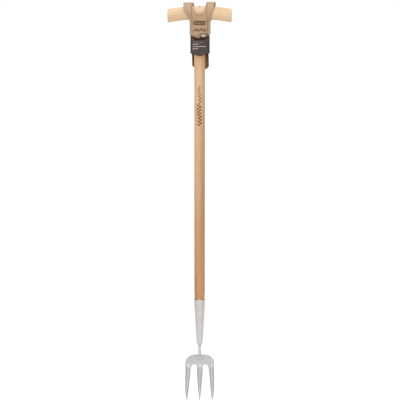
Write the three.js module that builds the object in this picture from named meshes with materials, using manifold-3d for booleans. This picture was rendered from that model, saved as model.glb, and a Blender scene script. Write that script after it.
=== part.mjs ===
// A long-handled digging fork: a pressed steel head with three tines, welded to a cranked neck and a
// conical socket, on an ash shaft with an ash crosspiece, and a folded card hanger round the top.
//
// Millimetres, +Z up. The origin is on the shaft's axis, level with the tips of the tines.
// The fork's front, the hollow side of its tines, faces -Y, and the crosspiece lies along X.
import * as THREE from "three";
import { mergeVertices } from "three/addons/utils/BufferGeometryUtils.js";
import Module from "manifold-3d";

const wasm = await Module();
wasm.setup();

// ---- Driving dimensions ----
const GAP = 0.3; // clearance left between pieces that touch
const ROUND = 48; // sides of a large turned piece

const crosspiece = {
  top: 1082.7, // height of its highest point above the tips
  halfLength: 88,
  halfHeight: 18.4,
  halfDepth: 16.5,
  endSwell: 1.03, // how much fatter the ends are than the middle
  droop: 8.2, // how far the bowed ends hang below the middle
  arris: 1.6, // rounding of the end edges
};
crosspiece.axisZ = crosspiece.top - crosspiece.halfHeight;

const tenon = { radius: 10.5, kerfFoot: 1067.2, kerfTop: 2.0, kerfBottom: 0.7 };
const pin = { radius: 3, z: 1060.2, innerY: -7 };

const shaft = {
  foot: 178.7,
  top: crosspiece.axisZ,
  radiusTop: 15.1,
  radiusBottom: 14.5,
  neckLength: 30, // stretch above the socket where the wood is eased down to enter it
};

const socket = {
  rim: 276.2,
  shoulder: 164.7,
  nose: 152.5,
  rimRadius: 15.35,
  shoulderRadius: 8.9,
  noseRadius: 5.3,
  wall: 1.2,
  lip: 0.4,
};
socket.slope = (socket.rimRadius - socket.shoulderRadius) / (socket.rim - socket.shoulder);

const neck = { radius: 4.1, top: 168.7, foot: 122.2 };

const head = {
  top: 124,
  halfWidth: 39.9,
  shoulderRadius: 25,
  slotTop: 96,
  halfThickness: 1.4,
  setback: 13.6, // how far the middle of the plate lies behind the shaft's axis at its top edge
  sweep: 18.1, // how far the tips come forward of the plate's top edge
};

const screw = { z: 251.7, shankRadius: 2, depth: 13, headRadius: 4.3, headHeight: 1.7 };

const card = {
  thickness: 0.8,
  frontY: -22.4,
  backY: 21.2,
  topZ: 1092.7,
  offCentre: 1.2, // how far to one side of the shaft's axis it hangs
  notchZ: 1040.7, // top of the folded flanks, under the crosspiece
  frontCrease: 20.8,
  backCrease: 17.5,
  frontFlank: 24.7,
  backFlank: 17.8,
  fold: 71, // degrees each flank is folded back
  tongueZ: 992.7,
  tailZ: 908.7,
};

const band = {
  top: 1014.7,
  side: 952.7,
  lowest: 943.7,
  crease: 19.8,
  widest: 26.8,
  frontY: -21.2,
  backY: 22.4,
};

// ---- Materials ----
const material = (color, roughness, metalness = 0) =>
  new THREE.MeshStandardMaterial({ color, roughness, metalness });
const ashShaft = material(0xd9ae7e, 0.55);
const ashCrosspiece = material(0xe9c79c, 0.5);
const hardwood = material(0x9c6b42, 0.6);
const satinSteel = material(0xc9c8c8, 0.35, 1);
const weldSteel = material(0xb8b7b4, 0.45, 1);
const kraftCard = material(0xbd9d7c, 0.85);
const darkCard = material(0x57494b, 0.7);

// ---- Building blocks ----
const clamp = THREE.MathUtils.clamp;
const lerp = THREE.MathUtils.lerp;
const radians = THREE.MathUtils.degToRad;

// Reads a value from [position, value] stops, in straight lines between them.
function along(stops, at) {
  const last = stops.length - 1;
  const i = clamp(stops.findIndex(([p]) => p > at) - 1, 0, last - 1);
  const from = at >= stops[last][0] ? last - 1 : i;
  const [p0, v0] = stops[from];
  const [p1, v1] = stops[from + 1];
  return lerp(v0, v1, clamp((at - p0) / (p1 - p0), 0, 1));
}

function geometryFrom(points, index) {
  const made = new THREE.BufferGeometry().setFromPoints(points);
  return made.setIndex(index);
}

function toSolid(geometry) {
  const bare = geometry.clone();
  bare.deleteAttribute("normal");
  bare.deleteAttribute("uv");
  const merged = mergeVertices(bare, 1e-4);
  const vertProperties = merged.attributes.position.array;
  const triVerts = new Uint32Array(merged.index.array);
  return new wasm.Manifold(new wasm.Mesh({ numProp: 3, vertProperties, triVerts }));
}

function toGeometry(solid) {
  const mesh = solid.getMesh();
  const positions = new THREE.BufferAttribute(new Float32Array(mesh.vertProperties), 3);
  const made = new THREE.BufferGeometry().setAttribute("position", positions);
  made.setIndex(new THREE.BufferAttribute(new Uint32Array(mesh.triVerts), 1));
  made.computeVertexNormals();
  return made;
}

// A solid turned about +Z from an outline of [radius, height] pairs.
function turned(outline, sides = ROUND) {
  const points = outline.map(([r, z]) => new THREE.Vector2(r, z));
  return new THREE.LatheGeometry(points, sides).rotateX(Math.PI / 2);
}

// A round bar along +Z from z0 to z1.
function rod(radius, z0, z1, sides = 32) {
  return turned([[0, z0], [radius, z0], [radius, z1], [0, z1]], sides);
}

// A round bar along +Y from y0 to y1, at height z.
function crossRod(radius, y0, y1, z, sides = 24) {
  return rod(radius, y0, y1, sides).rotateX(-Math.PI / 2).translate(0, 0, z);
}

// A closed solid through a row of rings, each a list of points going the same way round.
function lofted(rings) {
  const count = rings[0].length;
  const points = rings.flat();
  const index = [];
  for (let i = 0; i + 1 < rings.length; i++) {
    for (let j = 0; j < count; j++) {
      const a = i * count + j;
      const b = i * count + ((j + 1) % count);
      index.push(a, b, b + count, a, b + count, a + count);
    }
  }
  const lastRing = (rings.length - 1) * count;
  for (const [ring, start, flip] of [[rings[0], 0, true], [rings.at(-1), lastRing, false]]) {
    const centre = ring.reduce((sum, p) => sum.add(p), new THREE.Vector3()).divideScalar(count);
    const hub = points.push(centre) - 1;
    for (let j = 0; j < count; j++) {
      const a = start + j;
      const b = start + ((j + 1) % count);
      index.push(hub, flip ? b : a, flip ? a : b);
    }
  }
  return geometryFrom(points, index);
}

// A closed solid between two grids of points of the same size. Seen from outside the first grid,
// its rows go up and its columns go to the right.
function between(outer, inner) {
  const rows = outer.length;
  const columns = outer[0].length;
  const at = (side, i, j) => (side * rows + i) * columns + j;
  const index = [];
  const quad = (a, b, c, d) => index.push(a, b, c, a, c, d);
  for (let i = 0; i + 1 < rows; i++) {
    for (let j = 0; j + 1 < columns; j++) {
      quad(at(0, i, j), at(0, i, j + 1), at(0, i + 1, j + 1), at(0, i + 1, j));
      quad(at(1, i, j), at(1, i + 1, j), at(1, i + 1, j + 1), at(1, i, j + 1));
    }
    const right = columns - 1;
    quad(at(0, i, 0), at(0, i + 1, 0), at(1, i + 1, 0), at(1, i, 0));
    quad(at(0, i, right), at(1, i, right), at(1, i + 1, right), at(0, i + 1, right));
  }
  for (let j = 0; j + 1 < columns; j++) {
    const top = rows - 1;
    quad(at(0, 0, j), at(1, 0, j), at(1, 0, j + 1), at(0, 0, j + 1));
    quad(at(0, top, j), at(0, top, j + 1), at(1, top, j + 1), at(1, top, j));
  }
  return geometryFrom([...outer.flat(), ...inner.flat()], index);
}

// The grid moved inwards by a sheet's thickness, for between().
function inset(grid, thickness) {
  const rows = grid.length - 1;
  const columns = grid[0].length - 1;
  return grid.map((row, i) =>
    row.map((point, j) => {
      const across = grid[i][Math.min(j + 1, columns)].clone().sub(grid[i][Math.max(j - 1, 0)]);
      const up = grid[Math.min(i + 1, rows)][j].clone().sub(grid[Math.max(i - 1, 0)][j]);
      const outward = across.cross(up).normalize();
      return point.clone().addScaledVector(outward, -thickness);
    }),
  );
}

// A flat outline in X and Z, pushed through from y0 to y1.
function prism(shape, y0, y1, curveSegments = 12) {
  const made = new THREE.ExtrudeGeometry(shape, { depth: y1 - y0, bevelEnabled: false, curveSegments });
  return made.rotateX(Math.PI / 2).translate(0, y1, 0);
}

function piece(name, geometry, finish) {
  const mesh = new THREE.Mesh(geometry, finish);
  mesh.name = name;
  return mesh;
}

// ---- Crosspiece, and the wedged tenon that holds it ----
const crosspieceDroop = (x) => crosspiece.droop * (x / crosspiece.halfLength) ** 2;

// The crosspiece before it is bored: an oval bar, bowed down and a little fatter at its ends.
function crosspieceBlank(grow = 0) {
  const sections = 22;
  const sides = 40;
  const { halfLength, arris } = crosspiece;
  const stations = [[-halfLength, arris], [-halfLength + 0.45 * arris, 0.3 * arris]];
  for (let i = 0; i <= sections; i++) {
    stations.push([lerp(arris - halfLength, halfLength - arris, i / sections), 0]);
  }
  stations.push([halfLength - 0.45 * arris, 0.3 * arris], [halfLength, arris]);
  const rings = stations.map(([x, eased]) => {
    const swell = lerp(1, crosspiece.endSwell, (x / halfLength) ** 2);
    const ring = [];
    for (let k = 0; k < sides; k++) {
      const turn = (2 * Math.PI * k) / sides;
      const y = (crosspiece.halfDepth * swell - eased + grow) * Math.cos(turn);
      const z = (crosspiece.halfHeight * swell - eased + grow) * Math.sin(turn);
      ring.push(new THREE.Vector3(x, y, crosspiece.axisZ - crosspieceDroop(x) + z));
    }
    return ring;
  });
  return lofted(rings);
}

function makeCrosspiece() {
  const bore = toSolid(rod(tenon.radius + GAP, crosspiece.axisZ - 60, crosspiece.axisZ + 60));
  const pinHole = toSolid(crossRod(pin.radius + GAP, pin.innerY - GAP, 40, pin.z));
  const bored = toSolid(crosspieceBlank()).subtract(bore).subtract(pinHole);
  return piece("crosspiece", toGeometry(bored), ashCrosspiece);
}

// The tapered slot sawn in the tenon's end, or with less clearance the wedge driven into it.
function wedgeBlank(clearance) {
  const top = crosspiece.top + 10;
  const foot = tenon.kerfFoot + clearance * 2;
  const spread = (tenon.kerfTop - tenon.kerfBottom) / (crosspiece.top - tenon.kerfFoot);
  const halfFoot = tenon.kerfBottom - clearance;
  const halfTop = halfFoot + spread * (top - foot);
  const shape = new THREE.Shape();
  shape.moveTo(-halfFoot, foot);
  shape.lineTo(halfFoot, foot);
  shape.lineTo(halfTop, top);
  shape.lineTo(-halfTop, top);
  shape.closePath();
  return prism(shape, -tenon.radius - 5, tenon.radius + 5);
}

// Everything at the tenon's end is planed flush with the crosspiece's top.
function makeWedge() {
  const round = toSolid(rod(tenon.radius, crosspiece.axisZ - 30, crosspiece.axisZ + 60));
  const wedge = toSolid(wedgeBlank(GAP)).intersect(round).intersect(toSolid(crosspieceBlank()));
  return piece("tenon_wedge", toGeometry(wedge), hardwood);
}

function makeCrosspiecePin() {
  const dowel = toSolid(crossRod(pin.radius, pin.innerY, 40, pin.z));
  return piece("crosspiece_pin", toGeometry(dowel.intersect(toSolid(crosspieceBlank()))), hardwood);
}

// ---- Shaft ----
const socketRadius = (z) => socket.shoulderRadius + socket.slope * (z - socket.shoulder);

function makeShaft() {
  const insideSocket = (z) => socketRadius(z) - socket.wall - GAP;
  const eased = socket.rim + shaft.neckLength;
  const length = shaft.top - eased;
  const outline = [[0, shaft.foot], [insideSocket(shaft.foot) - 1, shaft.foot]];
  for (const z of [shaft.foot + 2, socket.rim - 6]) outline.push([insideSocket(z), z]);
  outline.push([13.7, socket.rim], [14.2, socket.rim + 9], [shaft.radiusBottom, eased]);
  for (let i = 1; i <= 4; i++) {
    outline.push([lerp(shaft.radiusBottom, shaft.radiusTop, i / 4), eased + (length * i) / 4]);
  }
  outline.push([0, shaft.top]);
  const blank = toSolid(crosspieceBlank());
  const body = toSolid(turned(outline)).subtract(toSolid(crosspieceBlank(GAP)));
  const spigot = toSolid(rod(tenon.radius, shaft.top - 40, shaft.top + 40, 32)).intersect(blank);
  const root = toSolid(rod(tenon.radius, shaft.top - 40, shaft.top - 10, 32));
  const kerf = toSolid(wedgeBlank(0));
  const pinHole = toSolid(crossRod(pin.radius + GAP, pin.innerY - GAP, 40, pin.z));
  const screwHole = toSolid(placedOnSocket(rod(screw.shankRadius + GAP, -screw.depth - GAP, 10, 24)));
  const whole = body.add(root).add(spigot).subtract(kerf).subtract(pinHole).subtract(screwHole);
  return piece("shaft", toGeometry(whole), ashShaft);
}

// ---- Socket, neck and welds ----
function makeSocket() {
  const { rim, shoulder, nose, wall, lip, noseRadius, shoulderRadius, rimRadius } = socket;
  const hole = neck.radius + GAP;
  const outer = [[hole, nose], [noseRadius, nose], [6.8, nose + 1.3], [7.7, nose + 3.2], [8.25, nose + 6.2]];
  outer.push([shoulderRadius, shoulder]);
  outer.push([rimRadius - 0.3, rim - 4.5], [rimRadius + lip, rim - 3], [rimRadius + lip, rim - 0.6]);
  outer.push([rimRadius, rim], [rimRadius - wall + lip, rim], [rimRadius - wall, rim - 1]);
  const inner = [[socketRadius(rim - 6) - wall, rim - 6], [shoulderRadius - wall, shoulder]];
  inner.push([5.8, nose + 7], [hole, nose + 5], [hole, nose]);
  const tube = toSolid(turned([...outer, ...inner]));
  const screwHole = toSolid(placedOnSocket(rod(screw.shankRadius + GAP, -6, 10, 24)));
  return piece("socket", toGeometry(tube.subtract(screwHole)), satinSteel);
}

// Turns a piece made about +Z so that it stands square on the back of the conical socket.
function placedOnSocket(geometry) {
  const tilt = Math.atan(socket.slope);
  const surface = socketRadius(screw.z);
  return geometry.rotateX(-Math.PI / 2 - tilt).translate(0, surface, screw.z);
}

function makeSocketScrew() {
  const { shankRadius, depth, headRadius, headHeight } = screw;
  const outline = [[0, -depth], [shankRadius * 0.3, -depth], [shankRadius, -depth + 3], [shankRadius, GAP]];
  outline.push([headRadius, GAP], [headRadius, GAP + 0.5]);
  for (const step of [0.25, 0.5, 0.75]) {
    const turn = (step * Math.PI) / 2;
    outline.push([headRadius * Math.cos(turn), GAP + 0.5 + headHeight * Math.sin(turn)]);
  }
  outline.push([0, GAP + 0.5 + headHeight]);
  const arm = (wide, long) => toSolid(new THREE.BoxGeometry(wide, long, 2).translate(0, 0, headHeight + 1));
  const cross = arm(1.0, 4.4).add(arm(4.4, 1.0));
  const whole = toSolid(turned(outline, 24)).subtract(cross);
  return piece("socket_screw", placedOnSocket(toGeometry(whole)), satinSteel);
}

const headMiddle = (z) => head.setback - head.sweep * ((head.top - z) / head.top) ** 2;
const neckLapY = headMiddle(neck.foot) - head.halfThickness - GAP - neck.radius;

function makeNeck() {
  const path = new THREE.CatmullRomCurve3([
    new THREE.Vector3(0, 0, neck.top),
    new THREE.Vector3(0, 0, socket.nose + 4),
    new THREE.Vector3(0, 0.1, socket.nose - 4),
    new THREE.Vector3(0, lerp(0, neckLapY, 0.5), lerp(socket.nose, head.top, 0.55)),
    new THREE.Vector3(0, neckLapY - 0.15, head.top + 1.5),
    new THREE.Vector3(0, neckLapY, neck.foot),
  ]);
  const sides = 24;
  const ringAt = (centre, tangent, radius) => {
    const ring = [];
    const side = new THREE.Vector3(1, 0, 0);
    const forward = tangent.clone().cross(side).normalize();
    for (let k = 0; k < sides; k++) {
      const turn = (2 * Math.PI * k) / sides;
      const point = centre.clone().addScaledVector(side, radius * Math.cos(turn));
      ring.push(point.addScaledVector(forward, radius * Math.sin(turn)));
    }
    return ring;
  };
  const rings = [];
  const steps = 18;
  for (let i = 0; i <= steps; i++) {
    const radius = i === 0 ? neck.radius - 0.5 : neck.radius;
    rings.push(ringAt(path.getPointAt(i / steps), path.getTangentAt(i / steps), radius));
  }
  const end = path.getPointAt(1);
  const tangent = path.getTangentAt(1);
  for (const turn of [0.25, 0.5, 0.75, 0.93].map((share) => (share * Math.PI) / 2)) {
    const centre = end.clone().addScaledVector(tangent, neck.radius * Math.sin(turn));
    rings.push(ringAt(centre, tangent, neck.radius * Math.cos(turn)));
  }
  return piece("neck", lofted(rings), satinSteel);
}

// The fillet of weld where the neck leaves the socket.
function makeSocketWeld() {
  const inner = neck.radius + GAP;
  const top = socket.nose - GAP;
  const outline = [[inner, top - 3], [inner + 0.7, top - 2.2], [inner + 1.3, top - 1], [inner + 1.4, top]];
  return piece("socket_weld", turned([...outline, [inner, top], [inner, top - 3]], 36), weldSteel);
}

// The horseshoe of weld that ties the end of the neck to the plate.
function makeHeadWeld() {
  const bead = 2.5;
  const beadDepth = 2;
  const reach = neck.radius + GAP + bead;
  const armLength = 1.4;
  const sides = 14;
  const plateFace = (z) => headMiddle(z) - head.halfThickness;
  const ringAt = (x, z, sideways, scale) => {
    const ring = [];
    for (let k = 0; k < sides; k++) {
      const turn = (2 * Math.PI * k) / sides;
      const out = bead * scale * Math.cos(turn);
      const lift = beadDepth * scale * Math.sin(turn);
      const centreY = plateFace(z) - GAP - 0.15 - beadDepth;
      ring.push(new THREE.Vector3(x + sideways.x * out, centreY + lift, z + sideways.z * out));
    }
    return ring;
  };
  const stations = [[-reach, neck.foot + armLength, Math.PI, 0.45]];
  stations.push([-reach, neck.foot + armLength * 0.6, Math.PI, 0.85]);
  const steps = 16;
  for (let i = 0; i <= steps; i++) {
    const turn = Math.PI + (Math.PI * i) / steps;
    stations.push([reach * Math.cos(turn), neck.foot + reach * Math.sin(turn), turn, 1]);
  }
  stations.push([reach, neck.foot + armLength * 0.6, 0, 0.85], [reach, neck.foot + armLength, 0, 0.45]);
  const rings = stations.map(([x, z, turn, scale]) =>
    ringAt(x, z, { x: Math.cos(turn), z: Math.sin(turn) }, scale),
  );
  return piece("head_weld", lofted(rings), weldSteel);
}

// ---- Head ----
// Half-width of the middle tine, and the inner and outer edges of an outer one, at a height.
const middleEdge = (z) => along([[0, 1], [11, 2.5], [27, 4.3], [55, 6.3], [94, 8.6]], z);
const innerEdge = (z) => along([[0, 34.1], [8, 32.5], [80, 24.9], [96, 24.5]], z);
const outerEdge = (z) => along([[0, 35.1], [3, 35.9], [8, 36.9], [19, 38.6], [36, head.halfWidth]], z);

function headOutline() {
  const { top, halfWidth, shoulderRadius, slotTop } = head;
  const shape = new THREE.Shape();
  shape.moveTo(0, top);
  shape.lineTo(shoulderRadius - halfWidth, top);
  shape.absarc(shoulderRadius - halfWidth, top - shoulderRadius, shoulderRadius, Math.PI / 2, Math.PI);
  shape.lineTo(-halfWidth, 38);
  shape.quadraticCurveTo(-halfWidth + 0.3, 12, -35.1, 0.5);
  shape.lineTo(-34.2, 0);
  shape.lineTo(-innerEdge(8) + 0.05, 8);
  shape.lineTo(-innerEdge(80), 80);
  shape.bezierCurveTo(-24.3, 88, -21.5, slotTop, -15.5, slotTop);
  shape.lineTo(-12.4, slotTop);
  shape.quadraticCurveTo(-8.8, slotTop, -8.6, 91);
  shape.quadraticCurveTo(-7.2, 50, -1.6, 5);
  shape.quadraticCurveTo(-1.2, 0.3, -0.5, 0);
  // The right half is the left one's mirror image, taken backwards.
  const left = shape.getPoints(10).slice(1);
  const whole = [new THREE.Vector2(0, top), ...left, new THREE.Vector2(0, 0)];
  const right = left.map((p) => new THREE.Vector2(-p.x, p.y)).reverse();
  return new THREE.Shape([...whole, ...right]);
}

// The curved plate the head is cut from: even over the shoulders, ridged down each tine.
function headPlate() {
  const rowHeights = [-3, 3, 8, 14, 20, 28, 36, 46, 56, 66, 76, 83, 88, 93, 97, 105, 113, 120, 127];
  const outerGrid = [];
  const innerGrid = [];
  for (const z of rowHeights) {
    const root = clamp((head.slotTop - z) / 11, 0, 1);
    const tip = clamp(z / 30, 0, 1);
    const plain = lerp(0.55, head.halfThickness, tip ** 0.7);
    const middle = middleEdge(z) + 0.8;
    const inner = innerEdge(z) - 0.8;
    const outer = outerEdge(z) + 0.8;
    const ridge = (inner + outer) / 2;
    const gapStep = (inner - middle) / 3;
    const half = [[0, 1], [middle / 2, 0.5], [middle, 0], [middle + gapStep, 0], [inner - gapStep, 0]];
    half.push([inner, 0], [lerp(inner, ridge, 0.5), 0.5], [ridge, 1], [lerp(outer, ridge, 0.5), 0.5]);
    half.push([outer, 0], [outer + 4, 0]);
    const whole = [...half.slice(1).map(([x, share]) => [-x, share]).reverse(), ...half];
    const rise = 1.5 * root * lerp(0.25, 1, tip);
    const thin = 0.45 * root * tip;
    const y = headMiddle(z);
    const face = (x, lift) => new THREE.Vector3(x, y + lift, z);
    outerGrid.push(whole.map(([x, share]) => face(x, thin * (1 - share) - plain - rise * share)));
    innerGrid.push(whole.map(([x, share]) => face(x, plain + 0.5 * rise * share - thin * (1 - share))));
  }
  return between(outerGrid, innerGrid);
}

function makeHead() {
  const cut = toSolid(prism(headOutline(), -40, 40)).intersect(toSolid(headPlate()));
  return piece("fork_head", toGeometry(cut), satinSteel);
}

// ---- Card hanger and its dark band ----
// The straps' outer edge and the angle they are folded by, at a height above the notch.
const strapEdge = (above) => along([[1, 28.7], [8, 31], [20, 36], [35, 43], [48, 44]], above);
const strapFold = (above) => along([[1, 55], [8, 35], [20, 6], [35, 3], [50, 0]], above);

// Outer faces of the folded card, as rows from the tongue up over the crosspiece and down to the tail.
function cardRows() {
  const { frontY, backY, topZ, notchZ, frontCrease, backCrease, fold, offCentre } = card;
  const rows = [];
  const row = (y, crease, flank, angle, side, zOf) => {
    const turn = radians(angle);
    const points = [];
    for (const share of [-1, -0.5, 0]) {
      const reach = -share * flank;
      points.push([-crease - reach * Math.cos(turn), y - side * reach * Math.sin(turn), reach]);
    }
    for (const share of [-0.5, 0, 0.5]) points.push([share * crease, y, 0]);
    for (const share of [0, 0.5, 1]) {
      const reach = share * flank;
      points.push([crease + reach * Math.cos(turn), y - side * reach * Math.sin(turn), reach]);
    }
    rows.push(points.map(([x, py, reach]) => new THREE.Vector3(x + offCentre, py, zOf(x, reach))));
  };
  const flanked = (y, crease, flank, side, lowest, curve, shares) => {
    const lowEdge = (x, reach) => lowest + curve * Math.min(1, (x / crease) ** 2) + 0.27 * reach;
    for (const share of shares) {
      row(y, crease, flank, fold, side, (x, reach) => lerp(lowEdge(x, reach), notchZ, share));
    }
  };
  const strap = (y, above, crease, side) => {
    const angle = side > 0 ? 0.5 * strapFold(above) : strapFold(above);
    const flank = (strapEdge(above) - crease) / Math.cos(radians(angle));
    row(y, crease, flank, angle, side, () => notchZ + above);
  };
  const legs = [1, 4.5, 8, 12, 16, 20, 27, 35, 42, 48];
  const lean = (above) => clamp((above - 12) / (48 - 12), 0, 1);
  flanked(frontY, frontCrease, card.frontFlank, -1, card.tongueZ, 6, [0, 0.5, 1]);
  const rise = topZ - notchZ;
  for (const above of legs) strap(frontY + 4.4 * lean(above), above, frontCrease, -1);
  strap(frontY + 5.6, rise - 2, frontCrease, -1);
  strap(frontY + 8.6, rise, frontCrease, -1);
  strap(0, rise + 0.4, lerp(frontCrease, backCrease, 0.5), 0);
  strap(backY - 8.1, rise, backCrease, 1);
  strap(backY - 5.1, rise - 2, backCrease, 1);
  for (const above of legs.toReversed()) strap(backY - 3.9 * lean(above), above, backCrease, 1);
  flanked(backY, backCrease, card.backFlank, 1, card.tailZ, 5, [1, 0.75, 0.5, 0.25, 0]);
  return rows;
}

// The opening between the straps, where the crosspiece shows.
function strapOpening() {
  const lowest = card.notchZ + 15.5;
  const waist = card.notchZ + 34;
  const shape = new THREE.Shape();
  shape.moveTo(-19.3, card.topZ + 10);
  shape.lineTo(-19.3, card.topZ - 2);
  shape.bezierCurveTo(-17.8, waist, -14.5, lowest, 0, lowest);
  shape.bezierCurveTo(14.5, lowest, 17.8, waist, 19.3, card.topZ - 2);
  shape.lineTo(19.3, card.topZ + 10);
  shape.closePath();
  return prism(shape, -60, 60, 14).translate(card.offCentre, 0, 0);
}

function makeCardHanger() {
  const rows = cardRows();
  const folded = toSolid(between(rows, inset(rows, card.thickness)));
  return piece("card_hanger", toGeometry(folded.subtract(toSolid(strapOpening()))), kraftCard);
}

// The dark printed band: a six-sided tube with a bowed lower edge, in front and behind.
function makeCardBand() {
  const { top, side, lowest, crease, widest, frontY, backY } = band;
  const sixSided = (inward) => {
    const c = crease - inward * 0.55;
    const w = widest - inward * 1.05;
    const front = frontY + inward;
    const back = backY - inward;
    const corners = [[-c, front], [c, front], [w, 0], [c, back], [-c, back], [-w, 0]];
    const shape = new THREE.Shape(corners.map(([x, y]) => new THREE.Vector2(x, y)));
    const depth = top - lowest + 2 + inward * 4;
    const made = new THREE.ExtrudeGeometry(shape, { depth, bevelEnabled: false });
    return toSolid(made.translate(0, 0, lowest - 1 - inward * 2));
  };
  const trim = new THREE.Shape();
  trim.moveTo(-40, top);
  trim.lineTo(-40, side);
  trim.lineTo(-crease, side);
  trim.quadraticCurveTo(0, 2 * lowest - side, crease, side);
  trim.lineTo(40, side);
  trim.lineTo(40, top);
  trim.closePath();
  const tube = sixSided(0).subtract(sixSided(card.thickness));
  const trimmed = tube.intersect(toSolid(prism(trim, -60, 60))).translate([card.offCentre, 0, 0]);
  return piece("card_band", toGeometry(trimmed), darkCard);
}

// ---- Assembly ----
const fork = new THREE.Group();
fork.add(makeHead(), makeNeck(), makeHeadWeld(), makeSocketWeld(), makeSocket(), makeSocketScrew());
fork.add(makeShaft(), makeCrosspiece(), makeWedge(), makeCrosspiecePin());

const sleeve = new THREE.Group();
sleeve.add(makeCardHanger(), makeCardBand());

const diggingFork = new THREE.Group();
diggingFork.add(fork, sleeve);

export default diggingFork;
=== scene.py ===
"""A long-handled digging fork with a card hanger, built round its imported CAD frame.

Shapes are worked out in millimetres, in the frame's axes, and made in metres.
"""

from math import atan, cos, hypot, pi, radians, sin, sqrt, tan

import bmesh
import bpy
import numpy as np
from mathutils import Matrix, Vector, geometry, noise


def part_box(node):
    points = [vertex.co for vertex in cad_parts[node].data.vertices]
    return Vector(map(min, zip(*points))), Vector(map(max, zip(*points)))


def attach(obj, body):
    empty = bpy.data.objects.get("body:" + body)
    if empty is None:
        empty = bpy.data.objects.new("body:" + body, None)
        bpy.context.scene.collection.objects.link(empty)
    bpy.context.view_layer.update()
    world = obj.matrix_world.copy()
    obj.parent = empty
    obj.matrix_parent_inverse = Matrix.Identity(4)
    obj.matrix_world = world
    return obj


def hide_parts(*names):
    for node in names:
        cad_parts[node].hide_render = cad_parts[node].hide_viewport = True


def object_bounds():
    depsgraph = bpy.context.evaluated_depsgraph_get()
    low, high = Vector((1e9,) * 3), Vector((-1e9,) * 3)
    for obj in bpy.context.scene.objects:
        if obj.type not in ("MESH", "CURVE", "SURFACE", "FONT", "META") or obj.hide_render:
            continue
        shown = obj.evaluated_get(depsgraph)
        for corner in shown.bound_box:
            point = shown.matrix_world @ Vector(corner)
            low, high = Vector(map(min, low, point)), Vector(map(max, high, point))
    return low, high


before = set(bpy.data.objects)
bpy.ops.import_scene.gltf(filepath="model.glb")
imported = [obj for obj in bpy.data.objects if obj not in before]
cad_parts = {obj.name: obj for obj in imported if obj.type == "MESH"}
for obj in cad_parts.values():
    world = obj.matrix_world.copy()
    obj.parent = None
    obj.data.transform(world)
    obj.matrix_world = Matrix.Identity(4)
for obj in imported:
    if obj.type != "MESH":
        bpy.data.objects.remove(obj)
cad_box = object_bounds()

MM = 0.001
TURN = 2 * pi
WHITE = (1, 1, 1, 1)
SQUARE = ((-1, -1), (1, -1), (1, 1), (-1, 1))
FORK = "fork"
SLEEVE = "card_sleeve"


# ---- places, from the frame
def box_mm(node):
    low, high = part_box(node)
    return np.array(low) / MM, np.array(high) / MM


shaft_low, shaft_high = box_mm("shaft")
cross_low, cross_high = box_mm("crosspiece")
socket_low, socket_high = box_mm("socket")
neck_low, neck_high = box_mm("neck")
_, head_high = box_mm("fork_head")
_, ring_high = box_mm("socket_weld")
screw_low, screw_high = box_mm("socket_screw")
card_low, card_high = box_mm("card_hanger")
band_low, band_high = box_mm("card_band")


# ---- numbers and curves
def lerp(a, b, share):
    return a + (b - a) * share


def smooth(share):
    share = np.clip(share, 0, 1)
    return share * share * (3 - 2 * share)


def along(stops, at):
    """A value read in straight lines between (position, value) stops."""
    places, values = zip(*stops)
    return np.interp(at, places, values)


def bezier(points, count):
    """Points on a quadratic or cubic curve, without its first one."""
    share = np.linspace(0, 1, count + 1)[1:, None]
    work = [np.array(p, float)[None, :] for p in points]
    while len(work) > 1:
        work = [lerp(a, b, share) for a, b in zip(work, work[1:])]
    return work[0].tolist()


def wobble(x, y, z, size, seed=0.0):
    """Smooth noise, about -1 to 1, with features of the given size in mm."""
    return noise.noise(Vector((x / size + seed, y / size - seed, z / size + 2 * seed)))


# ---- meshes
def quads(rows, columns, wrap_rows=False, wrap_columns=True):
    """Faces of a grid of points, row by row."""
    faces = []
    for i in range(rows if wrap_rows else rows - 1):
        for j in range(columns if wrap_columns else columns - 1):
            below, above = i * columns, (i + 1) % rows * columns
            right = (j + 1) % columns
            faces.append((below + j, below + right, above + right, above + j))
    return faces


def lofted(rings):
    """Points and faces of a body through rings; the ends close to their centres."""
    rings = [np.asarray(r, float) for r in rings]
    rows, columns = len(rings), len(rings[0])
    points = [p for ring in rings for p in ring]
    faces = quads(rows, columns)
    for start, ring in ((0, rings[0]), ((rows - 1) * columns, rings[-1])):
        points.append(ring.mean(axis=0))
        hub = len(points) - 1
        faces += [(hub, start + j, start + (j + 1) % columns) for j in range(columns)]
    return np.array(points), faces


def circle(radius, z, sides):
    return [(radius * cos(t), radius * sin(t), z) for t in np.arange(sides) * TURN / sides]


def turned(profile, sides):
    """Points and faces of a ring turned about Z from a closed profile of (radius, z)."""
    points = np.array([circle(radius, z, sides) for radius, z in profile]).reshape(-1, 3)
    return points, quads(len(profile), sides, wrap_rows=True)


def placed(name, data):
    obj = bpy.data.objects.new(name, data)
    bpy.context.scene.collection.objects.link(obj)
    return obj


def build(name, points, faces, weld=1e-4):
    """An object with outward normals, smooth except at its sharp edges."""
    mesh = bpy.data.meshes.new(name)
    mesh.from_pydata((np.asarray(points) * MM).tolist(), [], [tuple(map(int, f)) for f in faces])
    obj = placed(name, mesh)
    tidy_mesh(obj, weld)
    return obj


def tidy_mesh(obj, weld=1e-4, sharp=38):
    work = bmesh.new()
    work.from_mesh(obj.data)
    bmesh.ops.remove_doubles(work, verts=work.verts, dist=weld * MM)
    bmesh.ops.dissolve_degenerate(work, edges=work.edges, dist=weld * MM)
    loose = [v for v in work.verts if not v.link_faces]
    bmesh.ops.delete(work, geom=loose, context="VERTS")
    bmesh.ops.recalc_face_normals(work, faces=work.faces)
    work.to_mesh(obj.data)
    work.free()
    obj.data.shade_smooth()
    obj.data.set_sharp_from_angle(angle=radians(sharp))


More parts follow.
